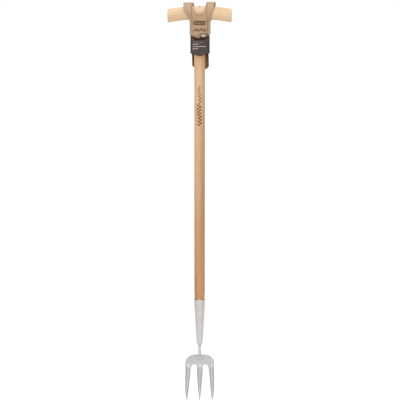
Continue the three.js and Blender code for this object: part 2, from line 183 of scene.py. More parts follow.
def applied(obj):
    """Bakes an object's modifiers into its mesh."""
    graph = bpy.context.evaluated_depsgraph_get()
    obj.data = bpy.data.meshes.new_from_object(obj.evaluated_get(graph))
    obj.modifiers.clear()
    tidy_mesh(obj)


def carve(obj, *cutters):
    for cutter in cutters:
        cut = obj.modifiers.new("cut", "BOOLEAN")
        cut.operation = "DIFFERENCE"
        cut.solver = "EXACT"
        cut.object = cutter
    applied(obj)
    for cutter in cutters:
        bpy.data.objects.remove(cutter)


def thicken(obj, thickness):
    """Turns a sheet into card, keeping its outer face."""
    solid = obj.modifiers.new("thickness", "SOLIDIFY")
    solid.thickness = thickness * MM
    solid.offset = -1
    applied(obj)


def face_forward(obj):
    """Turns an open sheet so that its foremost face looks out of the front."""
    work = bmesh.new()
    work.from_mesh(obj.data)
    foremost = min(work.faces, key=lambda face: face.calc_center_median().y)
    if foremost.normal.y > 0:
        bmesh.ops.reverse_faces(work, faces=work.faces)
    work.to_mesh(obj.data)
    work.free()


def finish_piece(obj, material, body, slot, *nodes):
    obj.data.materials.clear()
    obj.data.materials.append(material)
    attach(obj, body)
    if nodes:
        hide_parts(*nodes)
    return obj


def tube(centres, radii, sides):
    """A round bar whose centre line runs in the YZ plane."""
    centres, side, rings = np.asarray(centres, float), np.array([1.0, 0, 0]), []
    turns = np.arange(sides) * TURN / sides
    for i, (centre, radius) in enumerate(zip(centres, radii)):
        ahead = centres[min(i + 1, len(centres) - 1)] - centres[max(i - 1, 0)]
        ahead /= np.linalg.norm(ahead)
        front = np.cross(ahead, side)
        rings.append(centre + radius * (np.outer(np.cos(turns), side) + np.outer(np.sin(turns), front)))
    return lofted(rings)


# ---- materials
def srgb(tone):
    """A linear colour from a tone of three numbers, 0 to 255."""
    def linear(c):
        c /= 255
        return c / 12.92 if c <= 0.04045 else ((c + 0.055) / 1.055) ** 2.4

    return tuple(linear(c) for c in tone) + (1.0,)


def scaled(tone, share):
    return tuple(c * share for c in tone)


class Value:
    """A node's output, which can be added, subtracted, multiplied and divided."""

    __array_ufunc__ = None

    def __init__(self, nodes, socket):
        self.nodes, self.socket = nodes, socket

    def __add__(self, other):
        return self.nodes.math("ADD", self, other)

    def __sub__(self, other):
        return self.nodes.math("SUBTRACT", self, other)

    def __rsub__(self, other):
        return self.nodes.math("SUBTRACT", other, self)

    def __mul__(self, other):
        return self.nodes.math("MULTIPLY", self, other)

    def __truediv__(self, other):
        return self.nodes.math("DIVIDE", self, other)

    def __abs__(self):
        return self.nodes.math("ABSOLUTE", self)

    __radd__, __rmul__ = __add__, __mul__


class Nodes:
    """Adds nodes to a tree. Every helper gives a Value."""

    def __init__(self, tree):
        self.tree = tree

    def feed(self, socket, value):
        if isinstance(value, Value):
            self.tree.links.new(value.socket, socket)
        else:
            socket.default_value = value

    def node(self, kind, given=(), output=0, **settings):
        """A new node, fed in order or by name, and one of its outputs."""
        made = self.tree.nodes.new("ShaderNode" + kind)
        for key, value in settings.items():
            setattr(made, key, value)
        for place, value in given.items() if isinstance(given, dict) else enumerate(given):
            self.feed(made.inputs[place], value)
        return Value(self, made.outputs[output])

    def math(self, operation, a, b=0.0):
        return self.node("Math", (a, b), operation=operation)

    def between(self, value, low, high, to_low=0.0, to_high=1.0, curve="SMOOTHSTEP"):
        return self.node("MapRange", (value, low, high, to_low, to_high), interpolation_type=curve)

    def mix(self, share, a, b, blend="MIX"):
        a, b = (srgb(c) if isinstance(c, tuple) and len(c) == 3 else c for c in (a, b))
        return self.node("Mix", {0: share, 6: a, 7: b}, 2, data_type="RGBA", blend_type=blend)

    def vector(self, x, y, z):
        return self.node("CombineXYZ", (x, y, z))

    def parts(self, vector):
        first = self.node("SeparateXYZ", (vector,))
        return [Value(self, socket) for socket in first.socket.node.outputs]

    def stretch(self, vector, x, y, z):
        return self.node("VectorMath", (vector, (x, y, z)), operation="MULTIPLY")

    def noise(self, vector, scale=1.0, detail=2.0, roughness=0.5, distortion=0.0):
        given = {"Vector": vector, "Scale": scale, "Detail": detail, "Roughness": roughness,
                 "Distortion": distortion}
        return self.node("TexNoise", given, "Fac")

    def fibres(self, stretch, detail, roughness=0.5, distortion=0.0):
        return self.noise(self.stretch(self.place, *stretch), 1, detail, roughness, distortion)

    def cells(self, vector, scale=1.0):
        return self.node("TexVoronoi", {"Vector": vector, "Scale": scale}, "Distance")

    def bump(self, height, depth_mm, strength=1.0):
        return self.node("Bump", {"Strength": strength, "Distance": depth_mm * MM, "Height": height})

    def point_value(self, name):
        return self.node("Attribute", output="Fac", attribute_name=name)

    def camera_ray(self):
        return self.node("LightPath", output="Is Camera Ray")


class Finish(Nodes):
    """A node material, written from its inputs towards its surface."""

    def __init__(self, name):
        self.material = bpy.data.materials.new(name)
        self.material.use_nodes = True
        super().__init__(self.material.node_tree)
        self.surface = self.tree.nodes["Principled BSDF"]
        self.place = self.node("TexCoord", output="Object")

    def set(self, **values):
        names = {"colour": "Base Color", "coat": "Coat Weight", "coat_roughness": "Coat Roughness",
                 "specular": "Specular IOR Level", "glow": "Emission Color",
                 "glow_strength": "Emission Strength"}
        for key, value in values.items():
            self.feed(self.surface.inputs[names.get(key, key.capitalize())], value)
        return self.material


def ash(name, grain, across, pith, spacing, light, mid, dark, shade=None):
    """Ash: growth rings seen along the bar, open pores in their early wood, and fine fibre.

    grain gives the value that runs along the bar; across gives the pair across it, in metres.
    """
    f = Finish(name)
    g, (a, b) = grain(f), across(f)

    def grained(wide, long, scale, detail, roughness):
        return f.noise(f.vector(a * wide, b * wide, g * long), scale, detail, roughness)

    drift = (grained(9, 2.6, 1, 3, 0.55) - 0.5) * 0.016
    off_a = a - pith[0] + g * pith[2]
    off_b = b - pith[1]
    square = off_a * off_a + off_b * off_b
    ring = (f.math("SQRT", square) + drift) / spacing
    phase = f.math("FRACT", ring)
    early = f.between(phase, 0.0, 0.1) * f.between(phase, 0.16, 0.5, 1.0, 0.0)
    year = f.noise(f.vector(f.math("FLOOR", ring), 0.37, 0.11), 1.7, 0)
    fibre = f.noise(f.vector(a, b, g * 0.035), 2600, 3, 0.6)
    pores = f.noise(f.vector(a, b, g * 0.05), 1250, 2, 0.4)
    pores = f.between(pores, 0.52, 0.66) * (early * 0.85 + 0.12)
    patch = grained(24, 5, 1, 4, 0.6)
    broad = grained(170, 4, 1, 3, 0.6)
    colour = f.mix(f.between(patch, 0.3, 0.72), light, mid)
    colour = f.mix(f.between(broad, 0.5, 0.68) * 0.5, colour, dark)
    colour = f.mix(early * f.between(year, 0.25, 0.8, 0.25, 0.75), colour, dark)
    colour = f.mix(f.between(fibre, 0.35, 0.75) * 0.16, colour, dark)
    deep = scaled(srgb(dark)[:3], 0.45) + (1.0,)
    colour = f.mix(pores * 0.5, colour, deep)
    if shade:
        colour = shade(f, colour)
    height = fibre * 0.35 - (pores + early * 0.25)
    rough = f.between(patch, 0.3, 0.7) * 0.08 + pores * 0.2
    return f.set(colour=colour, roughness=rough + 0.4, specular=0.42, normal=f.bump(height, 0.07, 0.6),
                 coat=0.06, coat_roughness=0.35)


def shaft_shade(f, colour):
    """Warmer and darker towards the socket, with painted shade down the right side and a ruddy streak low
    on the left.
    """
    x, y, z = f.parts(f.place)
    low, high = shaft_low[2] * MM, shaft_high[2] * MM
    level = f.between(z, lerp(low, high, 0.05), lerp(low, high, 0.95), 1.0, 0.0)
    toned = f.mix(level * 0.66, colour, (198, 145, 98), "MULTIPLY")
    # Painted shade down the right side, away from the key light on the left.
    drift = f.noise(f.vector(0.0, 0.0, z), 9, 2)
    edge = x + (drift - 0.5) * 0.012
    right = f.between(edge, -0.006, 0.008) * f.between(z, 0.35, 0.6, 0.1, 0.5)
    toned = f.mix(right, toned, (214, 200, 188), "MULTIPLY")
    low_front = f.between(z, 0.3, 0.37, 1.0, 0.0) * f.between(y, -0.004, 0.0, 1.0, 0.0)
    streak = f.between(abs(x + 0.0075), 0.0, 0.0045, 1.0, 0.0) * low_front
    ruddy = streak * f.fibres((300, 300, 12), 2)
    return f.mix(ruddy * 0.8, toned, (166, 104, 66))


def steel(name, tone, streaks, roughness=0.3, spread=0.08, marks=0.3, tint=None):
    """Satin stainless: brushed lines, soft smears and the odd fine scratch."""
    f = Finish(name)
    brushed = f.noise(streaks(f), 1, 3, 0.6)
    smear = f.noise(f.place, 55, 4, 0.6)
    scratch = f.fibres((900, 900, 60), 1)
    scratch = f.between(scratch, 0.7, 0.74) * marks
    colour = f.mix(f.between(smear, 0.3, 0.75), tone, scaled(tone, 0.955))
    colour = f.mix(f.between(brushed, 0.3, 0.7) * 0.06, colour, scaled(tone, 0.8))
    if tint:
        colour = tint(f, colour)
    rough = brushed * spread + smear * 0.1
    rough = rough + (scratch * 0.15 + (roughness - 0.08))
    height = brushed - scratch
    return f.set(colour=colour, roughness=rough, metallic=1.0, normal=f.bump(height, 0.008, 0.45))


def card_finish(name, face, fleck, pale, shade=None, roughness=0.88):
    """Board with visible fibres, scored along its folds, with painted shade darkening the creases. shade
    tints it by place.
    """
    f = Finish(name)
    fold = f.point_value("fold")
    fibre = f.fibres((900, 900, 420), 5, 0.65, 0.8)
    cross = f.fibres((380, 380, 1100), 4, 0.6, 0.6)
    cloud = f.noise(f.place, 70, 3, 0.6)
    dots = f.cells(f.place, 900)
    colour = f.mix(f.between(cloud, 0.3, 0.7), face, scaled(face, 0.96))
    colour = f.mix(f.between(fibre, 0.5, 0.72) * 0.35, colour, fleck)
    colour = f.mix(f.between(cross, 0.55, 0.75) * 0.3, colour, pale)
    colour = f.mix(f.between(dots, 0.02, 0.16, 1.0, 0.0) * 0.3, colour, fleck)
    if shade:
        colour = shade(f, colour)
    worn = f.between(fold, 0.15, 0.55) * f.between(cross, 0.35, 0.6, 0.2, 0.6)
    colour = f.mix(worn * 0.3, colour, pale)
    # The score dents the bump; its dark line is painted shade along the crease.
    score_and_crease_shade = f.between(fold, 0.45, 0.95)
    colour = f.mix(score_and_crease_shade * 0.8, colour, scaled(fleck, 0.5))
    height = fibre * 0.5 + cross * 0.5
    height = height - score_and_crease_shade * 1.2
    return f.set(colour=colour, roughness=fibre * 0.12 + (roughness - 0.06), specular=0.25,
                 normal=f.bump(height, 0.05, 0.55))


def kraft_shade(f, colour):
    """Painted light up the straps and flanks; darker and redder at the tongue's lower edge; inner faces
    darker, partly own tone, partly painted shade.
    """
    x, y, z = f.parts(f.place)
    # Painted light: the straps grow lighter towards their top fold.
    rise = f.between(z, (NOTCH + 12) * MM, CARD_TOP * MM)
    colour = f.mix(rise * 0.6, colour, (222, 196, 168))
    # Painted light: the side flanks lighten below the notch.
    flank = f.between(abs(x - CARD_MIDDLE * MM), (FRONT_CREASE + 0.4) * MM, (FRONT_CREASE + 1.7) * MM)
    flank = flank * f.between(z, (NOTCH - 4) * MM, (NOTCH + 4) * MM, 0.45, 0.0)
    colour = f.mix(flank, colour, (222, 196, 170))
    bare = f.point_value("bare")
    front = f.between(y, -0.015, -0.005, 1.0, 0.0)
    # Darker and redder towards the tongue's lower edge, on its front face.
    tongue_darkening = f.between(z, (TONGUE + 1) * MM, (TONGUE + 14) * MM, 1.0, 0.0) * front * (1.0 - bare)
    colour = f.mix(tongue_darkening * 0.85, colour, (158, 120, 98))
    # Inner faces and cut edges darker: partly the unprinted board's own tone, partly painted shade.
    return f.mix(bare * 0.7, colour, (182, 142, 106))


def printed_shade(f, colour):
    """Dark ink outside, with painted shade on the side flanks; bare board on cut edges and inside."""
    bare = f.point_value("bare")
    cloud = f.noise(f.place, 120, 3, 0.6)
    fibre = f.fibres((900, 900, 420), 5, 0.65, 0.8)
    ink = f.mix(f.between(cloud, 0.25, 0.75), (88, 77, 77), (82, 71, 71))
    ink = f.mix(f.between(fibre, 0.58, 0.72) * 0.1, ink, colour)
    # Painted shade: the ink darkens past the creases, on the side flanks.
    away = abs(f.parts(f.place)[0] - CARD_MIDDLE * MM)
    flank = f.between(away, (BAND_CREASE - 0.3) * MM, (BAND_CREASE + 1.2) * MM, 0.0, 0.3)
    ink = f.mix(flank, ink, (62, 52, 52))
    return f.mix(1.0 - bare, colour, ink)


def print_finish(name, tone, wear=0.25, under=(188, 156, 124), roughness=0.7):
    """Ink that lets a little of the board through."""
    f = Finish(name)
    grain = f.fibres((3200, 3200, 1500), 3, 0.6)
    patch = f.noise(f.place, 400, 2, 0.5)
    share = f.between(grain + patch * 0.2, 0.6, 0.78) * wear
    colour = f.mix(share, tone, under)
    return f.set(colour=colour, roughness=grain * 0.15 + (roughness - 0.07), specular=0.3,
                 normal=f.bump(grain, 0.02, 0.4))


shaft_ash = ash(
    "shaft_ash",
    lambda f: f.parts(f.place)[2], lambda f: f.parts(f.place)[:2],
    (-0.034, -0.012, 0.012), 0.0036,
    (254, 224, 184), (248, 211, 168), (223, 172, 122), shaft_shade)


def bowed_across(f):
    """The crosspiece's grain follows its bow."""
    x, y, z = f.parts(f.place)
    return (y, z + x * x * (DROOP / HALF_LENGTH ** 2 / MM))


# ---- crosspiece
SWELL = 0.03
DROOP = 8.2
HALF_LENGTH = cross_high[0]
HALF_DEPTH = cross_high[1] / (1 + SWELL)
HALF_HEIGHT = (shaft_high[2] - cross_low[2] - DROOP) / (2 + SWELL)
CROSS_AXIS = shaft_high[2] - HALF_HEIGHT
TENON = 10.5
CLEARANCE = 0.3
CALM = 12  # half the middle stretch that stays true, where the shaft fits
HAND = 0.12  # depth of the hand-worked unevenness


def cross_axis(x):
    return CROSS_AXIS - DROOP * (x / HALF_LENGTH) ** 2


def cross_scale(x):
    return 1 + SWELL * (x / HALF_LENGTH) ** 2


def cross_surface(x, y, side):
    """Height of the crosspiece's top (side 1) or underside (side -1) over a point."""
    depth = HALF_DEPTH * cross_scale(x)
    return cross_axis(x) + side * HALF_HEIGHT * cross_scale(x) * sqrt(max(0, 1 - (y / depth) ** 2))


def make_crosspiece():
    arris, steps, sections, sides = 1.8, 7, 120, 128
    quarter = np.linspace(0, pi / 2, steps)
    end = [(HALF_LENGTH - arris + arris * sin(q), arris * (1 - cos(q))) for q in quarter]
    face = [(HALF_LENGTH + 0.0, arris + reach) for reach in (2.5, 6, 10, 14)]
    middle = [(x, 0) for x in np.linspace(arris - HALF_LENGTH, HALF_LENGTH - arris, sections)[1:-1]]
    right = end + face
    stations = [(-x, inset) for x, inset in reversed(right)] + middle + right
    rings = []
    for x, inset in stations:
        scale, ring = cross_scale(x), []
        for k in range(sides):
            turn = TURN * k / sides
            c, s = cos(turn), sin(turn)
            hand = 0.0
            if not inset and abs(x) > CALM:
                hand = HAND * wobble(x, 20 * c, 20 * s, 34, 3.1) * min(1, (abs(x) - CALM) / 10)
            y = (HALF_DEPTH * scale - inset - abs(hand)) * c
            z = (HALF_HEIGHT * scale - inset - abs(hand)) * s
            ring.append((x, y, cross_axis(x) + z))
        rings.append(ring)
    obj = build("ash_crosspiece", *lofted(rings))
    bore = build("bore", *bar(TENON + CLEARANCE, CROSS_AXIS - 60, CROSS_AXIS + 60, 96))
    pin_low, pin_high = box_mm("crosspiece_pin")
    pin_radius = (pin_high[0] - pin_low[0]) / 2 + CLEARANCE
    points, faces = bar(pin_radius, pin_low[1], 60, 48)
    hole = build("pin_hole", points[:, [0, 2, 1]] + [0, 0, (pin_low[2] + pin_high[2]) / 2], faces)
    carve(obj, bore, hole)
    return obj


def bar(radius, z0, z1, sides):
    """Points and faces of a plain round cutter."""
    return lofted([circle(radius, z, sides) for z in (z0, z1)])


# ---- shaft
RIM = socket_high[2]
NOSE = socket_low[2]
SHOULDER_Z = NOSE + 12.2
SHOULDER_RADIUS = 8.9
RIM_RADIUS = 15.35
SHAFT_TOP_RADIUS = shaft_high[0]
SHAFT_LOW_RADIUS = SHAFT_TOP_RADIUS - 0.6
NECKED = 30.0  # stretch above the rim where the wood is eased down
ENTRY_RADIUS, FOOT_RADIUS = 13.7, 13.6


def socket_radius(z):
    stops = [(NOSE, 5.3), (NOSE + 1.3, 6.8), (NOSE + 3.2, 7.7), (NOSE + 6.2, 8.25)]
    return along(stops + [(SHOULDER_Z, SHOULDER_RADIUS), (RIM, RIM_RADIUS)], z)


def shaft_radius(z):
    inside = socket_radius(z) - 1.2 - CLEARANCE
    eased = lerp(ENTRY_RADIUS, SHAFT_LOW_RADIUS, smooth((z - RIM) / NECKED))
    up = np.clip((z - RIM - NECKED) / (CROSS_AXIS - RIM - NECKED), 0, 1)
    body = lerp(SHAFT_LOW_RADIUS, SHAFT_TOP_RADIUS, up)
    return np.where(z < RIM, np.minimum(inside, FOOT_RADIUS), np.where(z < RIM + NECKED, eased, body))


def make_shaft():
    sides = 96
    turns = np.arange(sides) * TURN / sides
    heights = list(np.linspace(shaft_low[2], RIM, 12)) + list(np.linspace(RIM, RIM + NECKED, 14)[1:])
    heights += list(np.linspace(RIM + NECKED, CROSS_AXIS - 30, 90)[1:])
    rings = []
    for i, z in enumerate(heights):
        ring = []
        for t in turns:
            c, s = cos(t), sin(t)
            hand = 0.1 * wobble(14 * c, 14 * s, z / 6, 15, 1.7) if z > RIM + 2 else 0
            radius = float(shaft_radius(z)) - abs(hand) - (1.0 if i == 0 else 0)
            ring.append((radius * c, radius * s, z))
        rings.append(ring)

    def capped(radius, side, drop):
        ring = []
        for t in turns:
            x, y = radius * cos(t), radius * sin(t)
            ring.append((x, y, cross_surface(x, y, side) - drop))
        return ring

    rings.append(capped(SHAFT_TOP_RADIUS, -1, 0.5))
    rings.append(capped(SHAFT_TOP_RADIUS - 0.15, -1, CLEARANCE))
    rings.append(capped(TENON, -1, CLEARANCE))
    rings.append(capped(TENON, 1, 0.25))
    for radius in (TENON - 0.25, TENON * 0.75, TENON * 0.5, TENON * 0.25, 0.05):
        rings.append(capped(radius, 1, 0.02))
    obj = build("ash_shaft", *lofted(rings))
    wedge_low, wedge_high = box_mm("tenon_wedge")
    half_top = (wedge_high[0] - wedge_low[0]) / 2 + CLEARANCE
    slope = half_top / 2.4 / (wedge_high[2] - wedge_low[2])
    top = wedge_high[2] + 5
    foot, wide = wedge_low[2] - 0.6, half_top + 5 * slope
    outline = [(-0.7, foot), (0.7, foot), (wide, top), (-wide, top)]
    rings = [[(x, y, z) for x, z in outline] for y in (-TENON - 4, TENON + 4)]
    carve(obj, build("kerf", *lofted(rings)))
    return obj


# ---- socket, screw, neck and welds
def make_socket():
    wall, lip = 1.25, 0.39
    nose = [(5.3, 0), (6.1, 0.35), (6.8, 1.3), (7.35, 2.2), (7.8, 3.6), (8.25, 6.2)]
    outer = [(radius, NOSE + up) for radius, up in nose]
    outer += [(float(socket_radius(z)), z) for z in np.linspace(NOSE + 9, RIM - 5.2, 26)]
    rolled = [(-0.15, 3.9), (0.2, 3.3), (lip, 2.6), (lip + 0.01, 1.6), (lip - 0.03, 0.8),
              (0.2, 0.2), (-0.1, 0)]
    outer += [(RIM_RADIUS + out, RIM - down) for out, down in rolled]
    inner = [(RIM_RADIUS - wall + 0.45, RIM - 0.05), (RIM_RADIUS - wall + 0.1, RIM - 0.6), (14.05, RIM - 2)]
    inner += [(float(socket_radius(z)) - wall, z) for z in (RIM - 8, RIM - 40, NOSE + 30, NOSE + 12)]
    inner += [(5.8, NOSE + 7), (4.4, NOSE + 5), (4.4, NOSE + 0.2), (4.7, NOSE)]
    return build("steel_socket", *turned(outer + inner, 144))


def make_screw():
    """A domed cross-head screw that stands square on the back of the cone."""
    radius, rise = 4.3, 1.75
    profile = [(0.02, -13), (0.6, -13), (2.0, -10)]
    profile += [(2.0 + 0.18 * (i % 2), -10 + i * 0.55) for i in range(1, 18)]
    profile += [(2.0, 0.1), (radius - 0.2, 0.15), (radius, 0.35), (radius, 0.75)]
    dome = np.linspace(0.08, 1.35, 12)
    profile += [(radius * cos(q), 0.8 + rise * sin(q) * 0.98) for q in dome]
    obj = build("socket_screw_head", *lofted([circle(r, z, 48) for r, z in profile]))
    for wide, long in ((0.95, 4.4), (4.4, 0.95)):
        corners = [(x * wide / 2, y * long / 2) for x, y in SQUARE]
        foot = [(x * 0.55, y * 0.55, 1.0) for x, y in corners]
        top = [(x, y, 3.5) for x, y in corners]
        carve(obj, build("slot", *lofted([foot, top])))
    z = (screw_low[2] + screw_high[2]) / 2
    tilt = atan((RIM_RADIUS - SHOULDER_RADIUS) / (RIM - SHOULDER_Z))
    obj.data.transform(Matrix.Rotation(-pi / 2 - tilt, 4, "X"))
    obj.data.transform(Matrix.Translation((0, float(socket_radius(z)) * MM, z * MM)))
    return obj


HEAD_TOP = head_high[2]
SETBACK = 13.6
SWEEP = 18.1
PLATE = 1.4
NECK_RADIUS = neck_high[0]
NECK_FOOT = neck_low[2] + NECK_RADIUS


def head_middle(z):
    return SETBACK - SWEEP * ((HEAD_TOP - z) / HEAD_TOP) ** 2


def neck_line(z):
    lap = float(head_middle(NECK_FOOT)) - PLATE - NECK_RADIUS - 0.1
    return lap * float(smooth((NOSE - 0.5 - z) / (NOSE - 0.5 - HEAD_TOP + 0.5)))


def make_neck():
    heights = list(np.linspace(neck_high[2], NOSE + 1, 6)) + list(np.linspace(NOSE, NECK_FOOT, 46))
    centres = [(0, neck_line(z), z) for z in heights]
    radii = [NECK_RADIUS - (0.4 if i == 0 else 0) for i in range(len(heights))]
    for turn in np.linspace(0, pi / 2, 9)[1:]:
        share = max(cos(turn), 0.04)
        centres.append((0, neck_line(NECK_FOOT), NECK_FOOT - NECK_RADIUS * sin(turn) * 0.98))
        radii.append(NECK_RADIUS * share**0.8)
    return build("steel_neck", *tube(centres, radii, 64))


def make_head_weld():
    """A horseshoe of overlapped beads that ties the end of the neck to the plate."""
    bead, depth = 2.55, 2.15
    reach = NECK_RADIUS + bead - 0.1
    arm = HEAD_TOP - NECK_FOOT - 0.4
    path = [(reach, NECK_FOOT + s, 0.0) for s in np.linspace(arm, 0, 7)[:-1]]
    for a in np.linspace(0, pi, 60):
        path.append((reach * cos(a), NECK_FOOT - reach * sin(a), -a))
    path += [(-reach, NECK_FOOT + s, -pi) for s in np.linspace(0, arm, 7)[1:]]
    sides, rings, length = 28, [], 0.0
    for i, (x, z, turn) in enumerate(path):
        if i:
            length += hypot(x - path[i - 1][0], z - path[i - 1][1])
        ripple = (length / 1.35) % 1
        swell = 1 + 0.035 * sin(pi * ripple) - 0.01
        swell *= 1 + 0.05 * wobble(length, 0, 0, 5, 4.2)
        ends = min(1.0, 0.35 + 0.65 * min(i, len(path) - 1 - i) / 3)
        ring = []
        for k in range(sides):
            t = TURN * k / sides
            out = bead * swell * ends * cos(t)
            lift = depth * swell * ends * sin(t)
            y = float(head_middle(z)) - PLATE - depth + 0.6 + lift
            ring.append((x + cos(turn) * out, y, z + sin(turn) * out))
        rings.append(ring)
    return build("head_weld_bead", *lofted(rings))


def make_socket_weld():
    """A small fillet of weld in the socket's mouth, hardly rippled."""
    sides, turns_round = 20, 96
    points = []
    for i in range(turns_round):
        a = TURN * i / turns_round
        ripple = 1 + 0.05 * sin(pi * ((i * 22 / turns_round) % 1))
        ripple += 0.06 * wobble(6 * cos(a), 6 * sin(a), 0, 3, 5.0)
        for k in range(sides):
            t = TURN * k / sides
            radius = NECK_RADIUS + 0.05 + 0.95 * ripple * cos(t)
            z = ring_high[2] - 1.3 + 1.7 * ripple * sin(t)
            points.append((radius * cos(a), radius * sin(a), z))
    return build("socket_weld_bead", points, quads(turns_round, sides, wrap_rows=True))


# ---- head
HEAD_HALF = head_high[0]
SHOULDER = 25.0
SLOT_TOP = 96.0


def middle_edge(z):
    return along([(0, 1), (11, 2.5), (27, 4.3), (55, 6.3), (94, 8.6)], z)


def inner_edge(z):
    return along([(0, 34.1), (8, 32.5), (80, 24.9), (96, 24.5)], z)


def outer_edge(z):
    return along([(0, 35.1), (3, 35.9), (8, 36.9), (19, 38.6), (36, HEAD_HALF)], z)


def head_outline():
    """The left half of the plate's outline, top centre to the middle tine's tip, then mirrored."""
    x, z = SHOULDER - HEAD_HALF, HEAD_TOP - SHOULDER
    left = [(0, HEAD_TOP), (x, HEAD_TOP)]
    for a in np.linspace(pi / 2, pi, 40)[1:]:
        left.append((x + SHOULDER * cos(a), z + SHOULDER * sin(a)))
    left.append((-HEAD_HALF, 38))
    left += bezier([left[-1], (0.3 - HEAD_HALF, 12), (-35.25, 0.9)], 14)
    left += bezier([left[-1], (-34.9, 0.0), (-34.65, 0.0)], 4)
    left += bezier([(-34.65, 0.0), (-34.35, 0.0), (-34.1, 0.8)], 4)
    left.append((0.05 - float(inner_edge(8)), 8))
    left.append((-float(inner_edge(80)), 80))
    left += bezier([left[-1], (-24.3, 88), (-21.5, SLOT_TOP), (-15.5, SLOT_TOP)], 18)
    left.append((-12.4, SLOT_TOP))
    left += bezier([left[-1], (-8.8, SLOT_TOP), (-8.6, 91)], 10)
    left += bezier([left[-1], (-7.2, 50), (-1.6, 5)], 24)
    left += bezier([left[-1], (-1.25, 0), (0, 0)], 8)
    right = [(-x, z) for x, z in reversed(left[1:-1])]
    return np.array(left + right)


def resampled(outline, step):
    """The closed outline at even steps, keeping its corners."""
    points = []
    for a, b in zip(outline, np.roll(outline, -1, axis=0)):
        count = max(1, round(np.linalg.norm(b - a) / step))
        points += [lerp(a, b, k / count) for k in range(count)]
    return np.array(points)


def distance_to(outline, points):
    """Distance from each point to a closed outline, and whether it lies inside."""
    a, b = outline, np.roll(outline, -1, axis=0)
    edge = b - a
    away, inside = np.full(len(points), 1e9), np.zeros(len(points), bool)
    for start, along_edge, stop in zip(a, edge, b):
        rel = points - start
        share = np.clip(rel @ along_edge / (along_edge @ along_edge), 0, 1)
        away = np.minimum(away, np.linalg.norm(rel - share[:, None] * along_edge, axis=1))
        crosses = (start[1] > points[:, 1]) != (stop[1] > points[:, 1])
        with np.errstate(divide="ignore", invalid="ignore"):
            at = start[0] + (points[:, 1] - start[1]) / (stop[1] - start[1]) * along_edge[0]
        inside ^= crosses & (points[:, 0] < at)
    return away, inside


def plate_lift(x, z, away):
    """How far the front and the back of the plate stand off its middle surface."""
    side = np.abs(x)
    middle = side < (middle_edge(z) + inner_edge(z)) / 2
    crest = np.where(middle, 0, (inner_edge(z) + outer_edge(z)) / 2)
    half = np.where(middle, middle_edge(z), (outer_edge(z) - inner_edge(z)) / 2)
    off = np.clip(np.abs(side - crest) / half, 0, 1)
    soft = 0.16
    share = 1 - (np.sqrt(off**2 + soft**2) - soft) / (sqrt(1 + soft**2) - soft)
    root = smooth((SLOT_TOP + 2 - 11 * off - z) / 12)
    tip = np.clip(z / 30, 0, 1)
    plain = lerp(0.55, PLATE, tip**0.7)
    rise = 1.5 * root * lerp(0.3, 1, tip)
    thin = 0.5 * root * tip * (1 - share)
    rounding = 1.0 + 0.25 * tip
    edge = np.sqrt(1 - (1 - np.clip(away / rounding, 0, 1)) ** 2)
    return (plain - thin + rise * share) * edge, (plain - thin + 0.5 * rise * share) * edge


def make_head():
    outline = resampled(head_outline(), 0.8)
    ahead = np.roll(outline, -1, axis=0) - np.roll(outline, 1, axis=0)
    inward = np.stack([-ahead[:, 1], ahead[:, 0]], axis=1) / np.linalg.norm(ahead, axis=1)[:, None]
    if not distance_to(outline, (outline + inward * 0.2)[40:41])[1][0]:
        inward = -inward
    extra = []
    for depth in (0.1, 0.32, 0.65, 1.1, 1.7):
        ring = outline + inward * depth
        away, inside = distance_to(outline, ring)
        extra.append(ring[inside & (away > depth * 0.93)])
    pitch = 1.5
    rows = np.arange(0.5, HEAD_TOP, pitch * 0.866)
    columns = np.arange(-41.25, 41.3, pitch)
    grid = np.array([(x + (i % 2) * pitch / 2, z) for i, z in enumerate(rows) for x in columns])
    away, inside = distance_to(outline, grid)
    extra.append(grid[inside & (away > 2.2)])
    flat = np.concatenate([outline] + extra)
    loop = list(range(len(outline)))
    found = geometry.delaunay_2d_cdt([Vector(p) for p in flat], [], [loop], 1, 1e-5)
    flat = np.array([tuple(p) for p in found[0]])
    away, _ = distance_to(outline, flat)
    rim = away < 1e-3
    away[rim] = 0
    x, z = flat[:, 0], flat[:, 1]
    front, back = plate_lift(x, z, away)
    ripple = np.array([0.05 * wobble(px, 0, pz, 9, 2.2) for px, pz in flat]) * np.clip(away / 2, 0, 1)
    middle = head_middle(z)
    sheets = [np.stack([x, y + ripple, z], 1) for y in (middle - front, middle + back)]
    points = np.concatenate(sheets)
    count = len(flat)
    twin = [i if rim[i] else i + count for i in range(count)]
    faces = []
    for face in found[2]:
        faces.append(tuple(face))
        faces.append(tuple(twin[i] for i in reversed(face)))
    return build("steel_head", points, faces, 1e-5)


# ---- card hanger and band
CARD_MIDDLE = (card_low[0] + card_high[0]) / 2
CARD = 0.8
FOLD = 2.2
FRONT_CREASE, BACK_CREASE = 20.8, 17.5
FRONT_FLANK, BACK_FLANK = 24.7, 17.8
FOLD_ANGLE = 71.0
CARD_TOP = card_high[2] - 0.4
NOTCH = CARD_TOP - 52
SLIT_FOOT, SLIT_TOP = NOTCH + 11, 19.3  # the slit's lowest height and its half-width at the top
STRAP_REACH = 44
BEND = 3.2  # radius of the straps' top folds
CARD_FRONT, CARD_BACK = card_low[1], card_high[1]
TONGUE, TAIL = CARD_TOP - 100, card_low[2]
FLAT_COLUMNS, FOLD_COLUMNS, FLANK_COLUMNS = 9, 6, 6
BUCKLE = 0.12  # depth of the card's unevenness
TAIL_SHIFT, TAIL_LIFT, TAIL_TILT = 1.4, 0.6, 0.05  # how the back panel hangs
TWIST, SKEW, NARROWING = 2.4, 0.022, 0.11  # how the straps differ from straight ones


def strap_edge(z):
    return float(along([(1, 28.9), (8, 31.6), (20, 37), (34, 42.8), (48, 44)], z - NOTCH))


def strap_lean(z):
    """How far the straps lean to the left, at a height."""
    up = z - NOTCH
    return 2.1 * float(smooth((up - 4) / 22)) - float(smooth((up - 32) / 18))


def strap_fold(z):
    return float(along([(1, 55), (8, 35), (20, 6), (35, 3), (50, 0)], z - NOTCH))


